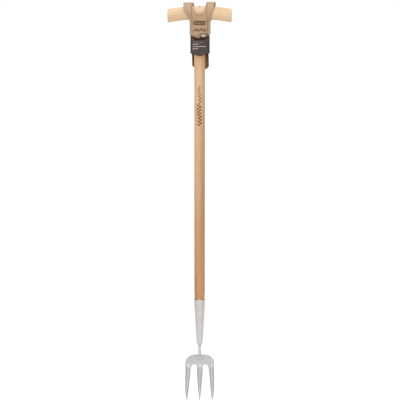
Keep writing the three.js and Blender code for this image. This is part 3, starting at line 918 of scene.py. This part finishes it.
def half_section(crease, reach, angle, inner):
    """Half of a folded card's section, centre or slit to outer edge: (x, depth behind the face, reach)."""
    turn = max(radians(angle), 1e-3)
    radius = FOLD / turn
    tangent = radius * tan(turn / 2)
    section = [(lerp(inner, crease - tangent, s), 0, 0) for s in np.linspace(0, 1, FLAT_COLUMNS)]
    for a in np.linspace(0, turn, FOLD_COLUMNS + 1)[1:]:
        x, depth = crease - tangent + radius * sin(a), radius * (1 - cos(a))
        section.append((x, depth, tangent * a / turn))
    for s in np.linspace(0, 1, FLANK_COLUMNS + 1)[1:]:
        out = lerp(tangent, reach, s)
        section.append((crease + out * cos(turn), out * sin(turn), out))
    return [(max(x, inner), depth, out) for x, depth, out in section]


def slit_half(z):
    """Half-width of the opening between the straps, at a height."""
    if z <= SLIT_FOOT:
        return 0.0
    hull = [(0, SLIT_FOOT), (11.8, SLIT_FOOT), (16.4, NOTCH + 33), (SLIT_TOP, CARD_TOP - 2)]
    curve = np.array([hull[0]] + bezier(hull, 40))
    return float(np.interp(z, curve[:, 1], curve[:, 0]))


def card_rows():
    """Rows of the card's right half, from the tongue up, over the crosspiece and down to the tail."""
    rows = []

    def row(y, section, side, height):
        rows.append([(x, y - side * depth, height(x, reach)) for x, depth, reach in section])

    def panel(y, crease, flank, side, lowest, curve, shares):
        section = half_section(crease, flank, FOLD_ANGLE, 0)

        def low_edge(x, reach):
            return lowest + curve * min(1, (x / crease) ** 2) + 0.27 * reach

        for s in shares:
            row(y, section, side, lambda x, reach: lerp(low_edge(x, reach), NOTCH, s))

    def strap(y, z, crease, side):
        angle = strap_fold(z) * (0.5 if side > 0 else 1)
        reach = (strap_edge(z) - crease) / cos(radians(angle))
        if z < NOTCH + 2.5:
            reach = lerp(FRONT_FLANK if side < 0 else BACK_FLANK, reach, smooth((z - NOTCH) / 2.5) ** 0.5)
            angle = lerp(FOLD_ANGLE, angle, float(smooth((z - NOTCH) / 2.5)))
        row(y, half_section(crease, reach, angle, slit_half(z)), side, lambda x, reach: z)

    low_legs = list(np.linspace(NOTCH + 0.3, NOTCH + 2.5, 5)) + list(np.linspace(NOTCH + 4, SLIT_FOOT, 9))
    high_legs = [SLIT_FOOT + (CARD_TOP - 4.5 - SLIT_FOOT) * s**2 for s in np.linspace(0, 1, 30)[1:]]
    legs = low_legs + high_legs

    def lean(z):
        return float(np.clip((z - NOTCH - 12) / 36, 0, 1))

    panel(CARD_FRONT, FRONT_CREASE, FRONT_FLANK, -1, TONGUE, 6, np.linspace(0, 1, 24))
    for z in legs:
        strap(CARD_FRONT + 4.4 * lean(z), z, FRONT_CREASE, -1)
    front_y, back_y = CARD_FRONT + 4.5, CARD_BACK - 4.0

    def strap_row(y, z, crease):
        section = half_section(crease, STRAP_REACH - crease, 0, SLIT_TOP)
        rows.append([(x, y, z) for x, _, _ in section])

    def folded(y, side, crease, turns):
        for a in turns:
            z = CARD_TOP - BEND + BEND * sin(a)
            strap_row(y - side * BEND * (1 - cos(a)), z, crease)

    folded(front_y, -1, FRONT_CREASE, np.linspace(0, pi / 2, 9))
    for s in np.linspace(0, 1, 14)[1:-1]:
        y = lerp(front_y + BEND, back_y - BEND, s)
        strap_row(y, CARD_TOP + 0.4 * sin(pi * s), lerp(FRONT_CREASE, BACK_CREASE, s))
    folded(back_y, 1, BACK_CREASE, np.linspace(pi / 2, 0, 9))
    for z in reversed(legs):
        strap(CARD_BACK - 3.9 * lean(z), z, BACK_CREASE, 1)
    panel(CARD_BACK, BACK_CREASE, BACK_FLANK, 1, TAIL, 5, np.linspace(1, 0, 40))
    return rows


def add_marks(obj, crease_at, cut_face):
    """Point values for the material: fold is 1 on a crease, bare is 1 on cut edges and inner faces."""
    mesh = obj.data
    mesh.update()
    fold = [crease_at(*(v.co / MM)) for v in mesh.vertices]
    bare = [cut_face(*(v.co / MM), v.normal) for v in mesh.vertices]
    for name, values in (("fold", fold), ("bare", bare)):
        layer = mesh.attributes.new(name, "FLOAT", "POINT")
        layer.data.foreach_set("value", np.array(values, np.float32))


def make_card():
    half = np.array(card_rows())
    rows, columns = half.shape[:2]
    points, faces = [], []
    for side in (1, -1):
        part = half.copy()
        part[:, :, 0] *= side
        start = len(points)
        points += part.reshape(-1, 3).tolist()
        faces += [tuple(start + k for k in face) for face in quads(rows, columns, wrap_columns=False)]
    points = np.array(points)
    for p in points:
        printed_face = p[1] < CARD_FRONT + 0.1
        if not printed_face:
            p[1] += BUCKLE * wobble(p[0], 0, p[2], 19, 6.4 if p[1] < 0 else 8.1)
        if p[1] > 3 and p[2] < BAND_SIDE + 20:
            hang = float(smooth((BAND_SIDE + 20 - p[2]) / 60))
            p[:] = p[0] + TAIL_SHIFT * hang, p[1] + TAIL_LIFT * hang, p[2] - TAIL_TILT * p[0] * hang
        elif p[2] > NOTCH:
            up = float(smooth((p[2] - NOTCH) / 40))
            twist = TWIST * up * float(smooth((p[1] + 12) / 24))
            narrow = NARROWING * up * max(0.0, p[0] - 20)
            lean = strap_lean(p[2]) * min(1.0, abs(p[0]) / 19)
            p[:] = p[0] - lean + twist - narrow, p[1], p[2] + SKEW * p[0] * up
    points[:, 0] += CARD_MIDDLE
    obj = build("kraft_hanger", points, faces, 1e-3)
    face_forward(obj)
    thicken(obj, CARD)

    def crease_at(x, y, z):
        crease = FRONT_CREASE if y < 0 else BACK_CREASE
        near = abs(abs(x - CARD_MIDDLE + strap_lean(z)) - crease)
        if z > CARD_TOP - 4:
            return 0.0
        return max(0.0, 1 - near / 2.0)

    def cut_face(x, y, z, normal):
        outward = normal.y * (1 if y > 0 else -1)
        if z > CARD_TOP - 3:
            outward = max(outward, normal.z)
        side = normal.x * (1 if x > CARD_MIDDLE else -1)
        return 1.0 if max(outward, side if abs(x - CARD_MIDDLE) > 15 else -1) < 0.25 else 0.0

    add_marks(obj, crease_at, cut_face)
    return obj


def tongue_edge(x):
    return TONGUE + 6 * min(1, (x / FRONT_CREASE) ** 2)


BAND_CREASE, BAND_WIDEST = 19.8, 26.8
BAND_SIDE, SCOOP = band_low[2] + 9, band_high[2] - 27.5


def band_low_edge(x):
    return BAND_SIDE - (BAND_SIDE - band_low[2]) * max(0.0, 1 - (x / BAND_CREASE) ** 2)


def band_high_edge(x, y):
    if y > 0 or abs(x) > 20.3:
        return band_high[2]
    return min(band_high[2], SCOOP + 9 * (abs(x) / 19.2) ** 7 + max(0.0, (abs(x) - 19.2) * 18))


def make_band():
    front, back = band_low[1], band_high[1]
    corners = [(-BAND_CREASE, front), (BAND_CREASE, front), (BAND_WIDEST, 0)]
    corners += [(BAND_CREASE, back), (-BAND_CREASE, back), (-BAND_WIDEST, 0)]
    ring, corner_radius = [], 1.1
    for i, corner in enumerate(corners):
        before, here, after = (np.array(corners[k % 6], float) for k in (i - 1, i, i + 1))
        into, out = (here - before), (after - here)
        start = here - into / np.linalg.norm(into) * corner_radius
        stop = here + out / np.linalg.norm(out) * corner_radius
        ring += [start.tolist()] + bezier([start, here, stop], 5)
        count = 22 if i in (0, 3) else 9
        following = after - out / np.linalg.norm(out) * corner_radius
        ring += [lerp(stop, following, k / count).tolist() for k in range(1, count)]
    rows = []
    for s in np.linspace(0, 1, 26):
        row = []
        for x, y in ring:
            z = lerp(band_low_edge(x), band_high_edge(x, y), s)
            push = 0.0 if y == front else 0.1 * wobble(x, y, z, 17, 9.3)
            row.append((x + CARD_MIDDLE, y * (1 + push / 30), z))
        rows.append(row)
    points = np.array(rows).reshape(-1, 3)
    obj = build("printed_band", points, quads(len(rows), len(ring)))
    thicken(obj, CARD)

    def crease_at(x, y, z):
        x -= CARD_MIDDLE
        face_fold = abs(abs(x) - BAND_CREASE) + (0 if abs(y) > 15 else 9)
        side_fold = abs(abs(x) - BAND_WIDEST) + 0.4 * abs(y)
        return 0.6 * max(0.0, 1 - min(face_fold, side_fold) / 1.3)

    def cut_face(x, y, z, normal):
        outward = normal.x * (x - CARD_MIDDLE) / BAND_WIDEST + normal.y * y / back
        return 1.0 if outward < 0.25 else 0.0

    add_marks(obj, crease_at, cut_face)
    return obj


def make_band_lining():
    """The glued-over ply inside the band's front, coloured near black as painted shade, which shows in the
    dip of its top edge.
    """
    front = band_low[1] + CARD + 0.12
    high, low = band_high[2] - 4, SCOOP - 13
    half, rows, columns, points = 18.4, 14, 30, []
    for s in np.linspace(0, 1, rows):
        for x in np.linspace(-half, half, columns):
            z = lerp(low + 3 * (x / half) ** 2, high, s)
            points.append((x + CARD_MIDDLE, front + 0.25 * cos(x * 0.085) * s, z))
    obj = build("band_lining", points, quads(rows, columns, wrap_columns=False))
    face_forward(obj)
    thicken(obj, 0.4)
    return obj


# ---- printed and burnt marks
MARK_FOOT, MARK_STEP, MARK_OVER = 0.02, 0.012, 0.06  # lifts that keep overlapping marks apart


def mark(name, shapes, place, material, body, slot, thick=0.05):
    """Thin closed marks from flat outlines. place maps (u, v, lift) in mm to a point."""
    work = bmesh.new()
    for i, outline in enumerate(shapes):
        outline = np.asarray(outline, float)
        step = MARK_STEP * (i % 4)
        loop = list(range(len(outline)))
        fill = geometry.delaunay_2d_cdt([Vector(p) for p in outline], [], [loop], 1, 1e-5)
        flat, faces = [tuple(p) for p in fill[0]], fill[2]
        top = [work.verts.new(Vector(place(u, v, thick + MARK_FOOT + step)) * MM) for u, v in flat]
        foot = [work.verts.new(Vector(place(u, v, MARK_FOOT)) * MM) for u, v in flat]
        edges = {}
        for face in faces:
            work.faces.new([top[i] for i in face])
            work.faces.new([foot[i] for i in reversed(face)])
            for a, b in zip(face, face[1:] + face[:1]):
                edges[(a, b)] = edges.get((b, a), 0) + 1
                if (b, a) in edges:
                    edges[(b, a)] = edges[(a, b)] = 2
        for (a, b), uses in edges.items():
            if uses == 1:
                work.faces.new([top[b], top[a], foot[a], foot[b]])
    mesh = bpy.data.meshes.new(name)
    work.to_mesh(mesh)
    work.free()
    obj = placed(name, mesh)
    tidy_mesh(obj, 1e-5)
    return finish_piece(obj, material, body, slot)


def rounded(x0, x1, z0, z1, radius, steps=5):
    radius = min(radius, (x1 - x0) / 2 - 1e-3, (z1 - z0) / 2 - 1e-3)
    outline = []
    left, right, low, high = x0 + radius, x1 - radius, z0 + radius, z1 - radius
    for start, (cx, cz) in enumerate(((right, high), (left, high), (left, low), (right, low))):
        for a in np.linspace(0, pi / 2, steps):
            turn = start * pi / 2 + a
            outline.append((cx + radius * cos(turn), cz + radius * sin(turn)))
    return outline


def leaf(x, z, length, width, turn, steps=10):
    """A pointed leaf that grows from (x, z) in the direction turn."""
    sides = []
    for way in (1, -1):
        row = []
        for s in np.linspace(0, 1, steps):
            half = way * width / 2 * sin(pi * s**0.8)
            row.append((length * s, half))
        sides.append(row)
    outline = sides[0] + sides[1][-2:0:-1]
    c, si = cos(turn), sin(turn)
    return [(x + u * c - v * si, z + u * si + v * c) for u, v in outline]


def ribbon(centres, width):
    """A line of even width along points."""
    centres = np.asarray(centres, float)
    ahead = np.gradient(centres, axis=0)
    ahead /= np.linalg.norm(ahead, axis=1)[:, None]
    half = np.stack([-ahead[:, 1], ahead[:, 0]], 1) * width / 2
    return np.concatenate([centres + half, (centres - half)[::-1]])


def on_card(u, v, lift):
    return (u + CARD_MIDDLE, CARD_FRONT - lift, v)


def on_band(u, v, lift):
    return (u + CARD_MIDDLE, band_low[1] - lift, v)


def on_shaft(u, v, lift):
    radius = float(shaft_radius(v)) + lift - 0.01
    turn = u / radius
    return (radius * sin(turn), -radius * cos(turn), v)


def outline_of(outline, inset):
    """A thin frame inside an outline, as two halves that together go round it."""
    outline = np.asarray(outline, float)
    centre = outline.mean(axis=0)
    size = np.abs(outline - centre).max(axis=0)
    inner = centre + (outline - centre) * (1 - inset / size)
    half = len(outline) // 2
    first = np.concatenate([outline[: half + 1], inner[: half + 1][::-1]])
    second = np.concatenate([outline[half:], outline[:1], inner[:1], inner[half:][::-1]])
    return [first, second]


def make_marks():
    ink = print_finish("card_ink", (92, 60, 43))
    pale = print_finish("pale_ink", (214, 186, 154), 0.3)
    dark = print_finish("picture_ink", (60, 34, 22), 0.08)
    on_kraft = (SLEEVE, "kraft_card")

    def over_ink(u, v, raised):
        return on_card(u, v, raised + MARK_OVER)

    # A plaque with a row of leaves, inside a thin frame.
    middle = NOTCH - 6.7
    plaque = rounded(-15.9, 15.9, middle - 4.9, middle + 4.9, 3.0, 9)
    rim = outline_of(rounded(-18.0, 18.0, middle - 6.4, middle + 6.4, 4.6, 9), 0.6)
    mark("card_plaque", [plaque] + rim, on_card, ink, *on_kraft)
    leaves = [leaf(-13.4 + 4.1 * i, middle - 1.8, 4.6, 1.7, 0.95) for i in range(7)]
    mark("card_plaque_leaves", leaves, over_ink, pale, *on_kraft)

    # A leafy vine across the front.
    level = NOTCH - 25.8

    def vine(x):
        return level + 1.3 * sin(x * 0.42)

    stem = [(x, vine(x)) for x in np.linspace(-18, 18, 90)]
    sprays = []
    for i in range(15):
        x, way = -16.8 + 2.3 * i, 1 if i % 2 else -1
        sprays.append(leaf(x, vine(x) + way * 0.3, 5.2, 2.5, way * 0.95))
    mark("card_vine_stem", [ribbon(stem, 1.0)], on_card, ink, *on_kraft)
    mark("card_vine_leaves", sprays, over_ink, ink, *on_kraft)

    # A dark picture of a pale seedling in the tongue's corner.
    foot = [(x, tongue_edge(x) + 0.5) for x in np.linspace(0.4, 20.0, 16)]
    picture = foot + [(20.0, TONGUE + 12.6), (0.4, TONGUE + 12.6)]
    mark("card_picture", [picture], on_card, dark, *on_kraft)
    root = TONGUE + 3.6
    seedling = [ribbon([(10.0, root - 1.6), (10.3, root + 1), (10.1, root + 4)], 1.2)]
    seedling += [leaf(10.6, root + 0.8, 9.6, 5.8, 0.6), leaf(9.6, root + 0.6, 9.8, 5.8, pi - 0.62)]
    seedling.append(leaf(10.1, root + 2.8, 5.6, 3.4, pi / 2))
    mark("card_picture_seedling", seedling, over_ink, pale, *on_kraft)

    # Rules on the band: (name, colour, spans, height below the band's top, thickness).
    rules = [
        ("band_rule_1", (140, 126, 106), [(-19.2, -12), (-11.2, -3), (-2.2, 10)], 33.2, 1.8),
        ("band_rule_2", (222, 203, 172), [(-19.4, -15.6), (-14.8, -4.0)], 38.8, 1.9),
        ("band_rule_3", (222, 208, 186), [(-19.4, -15.5), (-14.6, -4.5), (-3.7, 7.2), (8.0, 17.4)],
         45.0, 1.6),
        ("band_rule_4", (226, 190, 176), [(-19.4, -11.5), (-10.7, -4.2)], 50.8, 1.9),
        ("band_rule_5", (128, 72, 70), [(-19.2, -9.0)], 56.4, 1.7),
    ]
    for name, tone, spans, drop, tall in rules:
        finish = print_finish(name + "_ink", tone, 0.3, (95, 82, 81))
        z = band_high[2] - drop
        shapes = [rounded(x0, x1, z - tall / 2, z + tall / 2, 0.5) for x0, x1 in spans]
        mark(name, shapes, on_band, finish, SLEEVE, "dark_card")

    # A sprig burnt into the shaft below the card.
    burnt = burnt_finish()
    low, high = CROSS_AXIS - 314, CROSS_AXIS - 203

    def sprig(z):
        return 1.3 * sin((z - low) * 0.11)

    def over_stem(u, v, raised):
        return on_shaft(u, v, raised + MARK_OVER)

    stem = [(sprig(z), z) for z in np.linspace(low, high, 150)]
    mark("shaft_sprig_stem", [ribbon(stem, 1.1)], on_shaft, burnt, FORK, "shaft_ash")
    leaves = [leaf(stem[-1][0], high - 2, 5.0, 2.2, pi / 2)]
    rows = ((13, 2, 4.4, 10.4, 4.1, 0.74), (10, 62, 4.6, 7.0, 2.6, 0.8))
    for count, start, pitch, length, wide, turn in rows:
        for i in range(count):
            z, way = low + start + pitch * i, 1 if i % 2 else -1
            leaves.append(leaf(sprig(z) + way * 0.3, z, length, wide, pi / 2 - way * turn))
    mark("shaft_sprig_leaves", leaves, over_stem, burnt, FORK, "shaft_ash")


def burnt_finish():
    """Wood scorched by a hot stamp, uneven and browner at its edges."""
    f = Finish("burnt_wood")
    patch = f.fibres((420, 420, 160), 3, 0.6)
    fibre = f.fibres((2200, 2200, 90), 2, 0.5)
    colour = f.mix(f.between(patch, 0.35, 0.68), (126, 82, 50), (154, 108, 70))
    colour = f.mix(f.between(fibre, 0.45, 0.7) * 0.4, colour, (102, 64, 40))
    return f.set(colour=colour, roughness=0.7, specular=0.2, normal=f.bump(fibre, 0.04, 0.5))


# ---- everything together
def around(f):
    """Streaks that run round a turned piece."""
    x, y, z = f.parts(f.place)
    turn = f.math("ARCTAN2", x, y)
    return f.vector(turn * 1.2, 0.0, z * 2600)


def down(f):
    """Streaks that run down a piece."""
    return f.stretch(f.place, 2400, 2400, 55)


def heat(f, colour):
    """Straw and brown heat colours near the weld."""
    x, y, z = f.parts(f.place)
    off = f.vector(x, 0.0, z - NECK_FOOT * MM)
    length = f.node("VectorMath", (off,), "Value", operation="LENGTH")
    away = length + f.noise(f.place, 240, 2) * 0.003
    near = f.between(away, 0.0095, 0.0125) * f.between(away, 0.0125, 0.0185, 1.0, 0.0)
    return f.mix(near * 0.16, colour, (176, 150, 112))


def painted_reflection_bands(f, colour):
    """Soft lengthwise bands of painted reflection on the cone."""
    x, y, z = f.parts(f.place)
    turn = f.math("ARCTAN2", x, y * -1.0)
    drift = f.noise(f.vector(turn * 2.6, 0.7, z * 4), 1, 2, 0.5)
    wave = f.math("SINE", turn * -9 + drift * 2.2)
    return f.mix(f.between(wave, -0.6, 1.0) * 0.13, colour, (172, 168, 165))


cross_ash = ash(
    "crosspiece_ash",
    lambda f: f.parts(f.place)[0], bowed_across,
    (-0.03, CROSS_AXIS * MM + 0.028, 0.02), 0.0042,
    (250, 221, 182), (243, 206, 162), (229, 182, 133))
hardwood = ash(
    "wedge_hardwood",
    lambda f: f.parts(f.place)[1], lambda f: (f.parts(f.place)[0], f.parts(f.place)[2]),
    (0.02, CROSS_AXIS * MM - 0.03, 0.0), 0.0016,
    (168, 118, 76), (152, 102, 62), (118, 76, 44))
head_steel = steel("head_steel", (214, 212, 214), down, 0.36, 0.08, 0.25, heat)
neck_steel = steel("neck_steel", (231, 230, 226), down, 0.34)
# The socket's tint paints soft bands of reflection lengthwise on the cone.
socket_steel = steel("socket_steel", (237, 233, 230), around, 0.25, 0.1, 0.15, painted_reflection_bands)
screw_steel = steel("screw_steel", (190, 188, 184), around, 0.3)
weld_steel = steel("weld_steel", (230, 227, 224), lambda f: f.stretch(f.place, 900, 900, 900), 0.36, 0.12)
kraft = card_finish("kraft_card", (200, 167, 133), (163, 127, 95), (219, 191, 158), kraft_shade)
printed = card_finish("dark_card", (176, 146, 118), (110, 92, 82), (118, 106, 103), printed_shade, 0.8)
# The lining is near black: painted shade in the dip of the band's top edge.
lining = card_finish("painted_shade_lining_card", (64, 37, 27), (42, 24, 18), (80, 52, 40))

for make, material, body, slot, *nodes in (
    (make_crosspiece, cross_ash, FORK, "crosspiece_ash", "crosspiece"),
    (make_shaft, shaft_ash, FORK, "shaft_ash", "shaft"),
    (make_socket, socket_steel, FORK, "socket_steel", "socket"),
    (make_screw, screw_steel, FORK, "socket_steel", "socket_screw"),
    (make_neck, neck_steel, FORK, "neck_steel", "neck"),
    (make_head, head_steel, FORK, "head_steel", "fork_head"),
    (make_head_weld, weld_steel, FORK, "weld_steel", "head_weld"),
    (make_socket_weld, weld_steel, FORK, "weld_steel", "socket_weld"),
    (make_card, kraft, SLEEVE, "kraft_card", "card_hanger"),
    (make_band, printed, SLEEVE, "dark_card", "card_band"),
    (make_band_lining, lining, SLEEVE, "dark_card"),
):
    finish_piece(make(), material, body, slot, *nodes)
make_marks()
for node in ("tenon_wedge", "crosspiece_pin"):
    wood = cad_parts[node]
    wood.data.materials.clear()
    wood.data.materials.append(hardwood)


# ---- floor, light and camera
def make_stage():
    reach, level = 4000, -1
    floor = build("floor", [(x * reach, y * reach, level) for x, y in SQUARE], [(0, 1, 2, 3)])
    f = Finish("floor_white")
    pale = f.mix(f.noise(f.place, 3, 2), (0.93, 0.93, 0.93, 1), (0.95, 0.95, 0.95, 1))
    seen = f.camera_ray()
    f.set(colour=f.mix(seen, (0.74, 0.74, 0.74, 1), pale), roughness=0.9, specular=0.1,
          glow=WHITE, glow_strength=seen * 0.21 + 0.14)
    floor.data.materials.append(f.material)

    world = bpy.data.worlds.new("studio")
    bpy.context.scene.world = world
    world.use_nodes = True
    w = Nodes(world.node_tree)
    x, _, z = w.parts(w.node("TexCoord", output="Generated"))
    light = w.between(z, -1, 1, 0.32, 0.85, "LINEAR") * w.between(abs(x), 0.55, 0.95, 1.0, 0.62)
    back = w.tree.nodes["Background"]
    w.feed(back.inputs["Strength"], w.node("Mix", {0: w.camera_ray(), 2: light, 3: 1.05}))
    w.feed(back.inputs["Color"], WHITE)

    centre = Vector((0, 0, (cad_box[0].z + cad_box[1].z) / 2))
    for name, spot, size, power in (
        ("key", (-1.3, -2.0, 2.3), 1.5, 9),
        ("fill", (0.25, -3.2, 1.2), 0.8, 10),
        ("top", (0.2, -0.3, 3.0), 1.4, 11),
    ):
        lamp = bpy.data.lights.new(name, "AREA")
        lamp.energy = power
        lamp.size = size
        obj = placed(name, lamp)
        obj.location = spot
        obj.rotation_euler = (centre - Vector(spot)).to_track_quat("-Z", "Y").to_euler()


def make_camera():
    distance, covered = 4.5, 1.1
    azimuth = radians(2.5)
    target = Vector((0.0011, 0, 0.5497))
    lens = bpy.data.cameras.new("camera")
    sensor = 36
    lens.sensor_width = sensor
    lens.lens = sensor * distance / covered
    camera = placed("camera", lens)
    away = Vector((sin(azimuth), -cos(azimuth), 0))
    camera.location = target + away * distance
    camera.rotation_euler = (-away).to_track_quat("-Z", "Y").to_euler()
    bpy.context.scene.camera = camera


make_stage()
make_camera()
bpy.context.scene.view_settings.view_transform = "Standard"
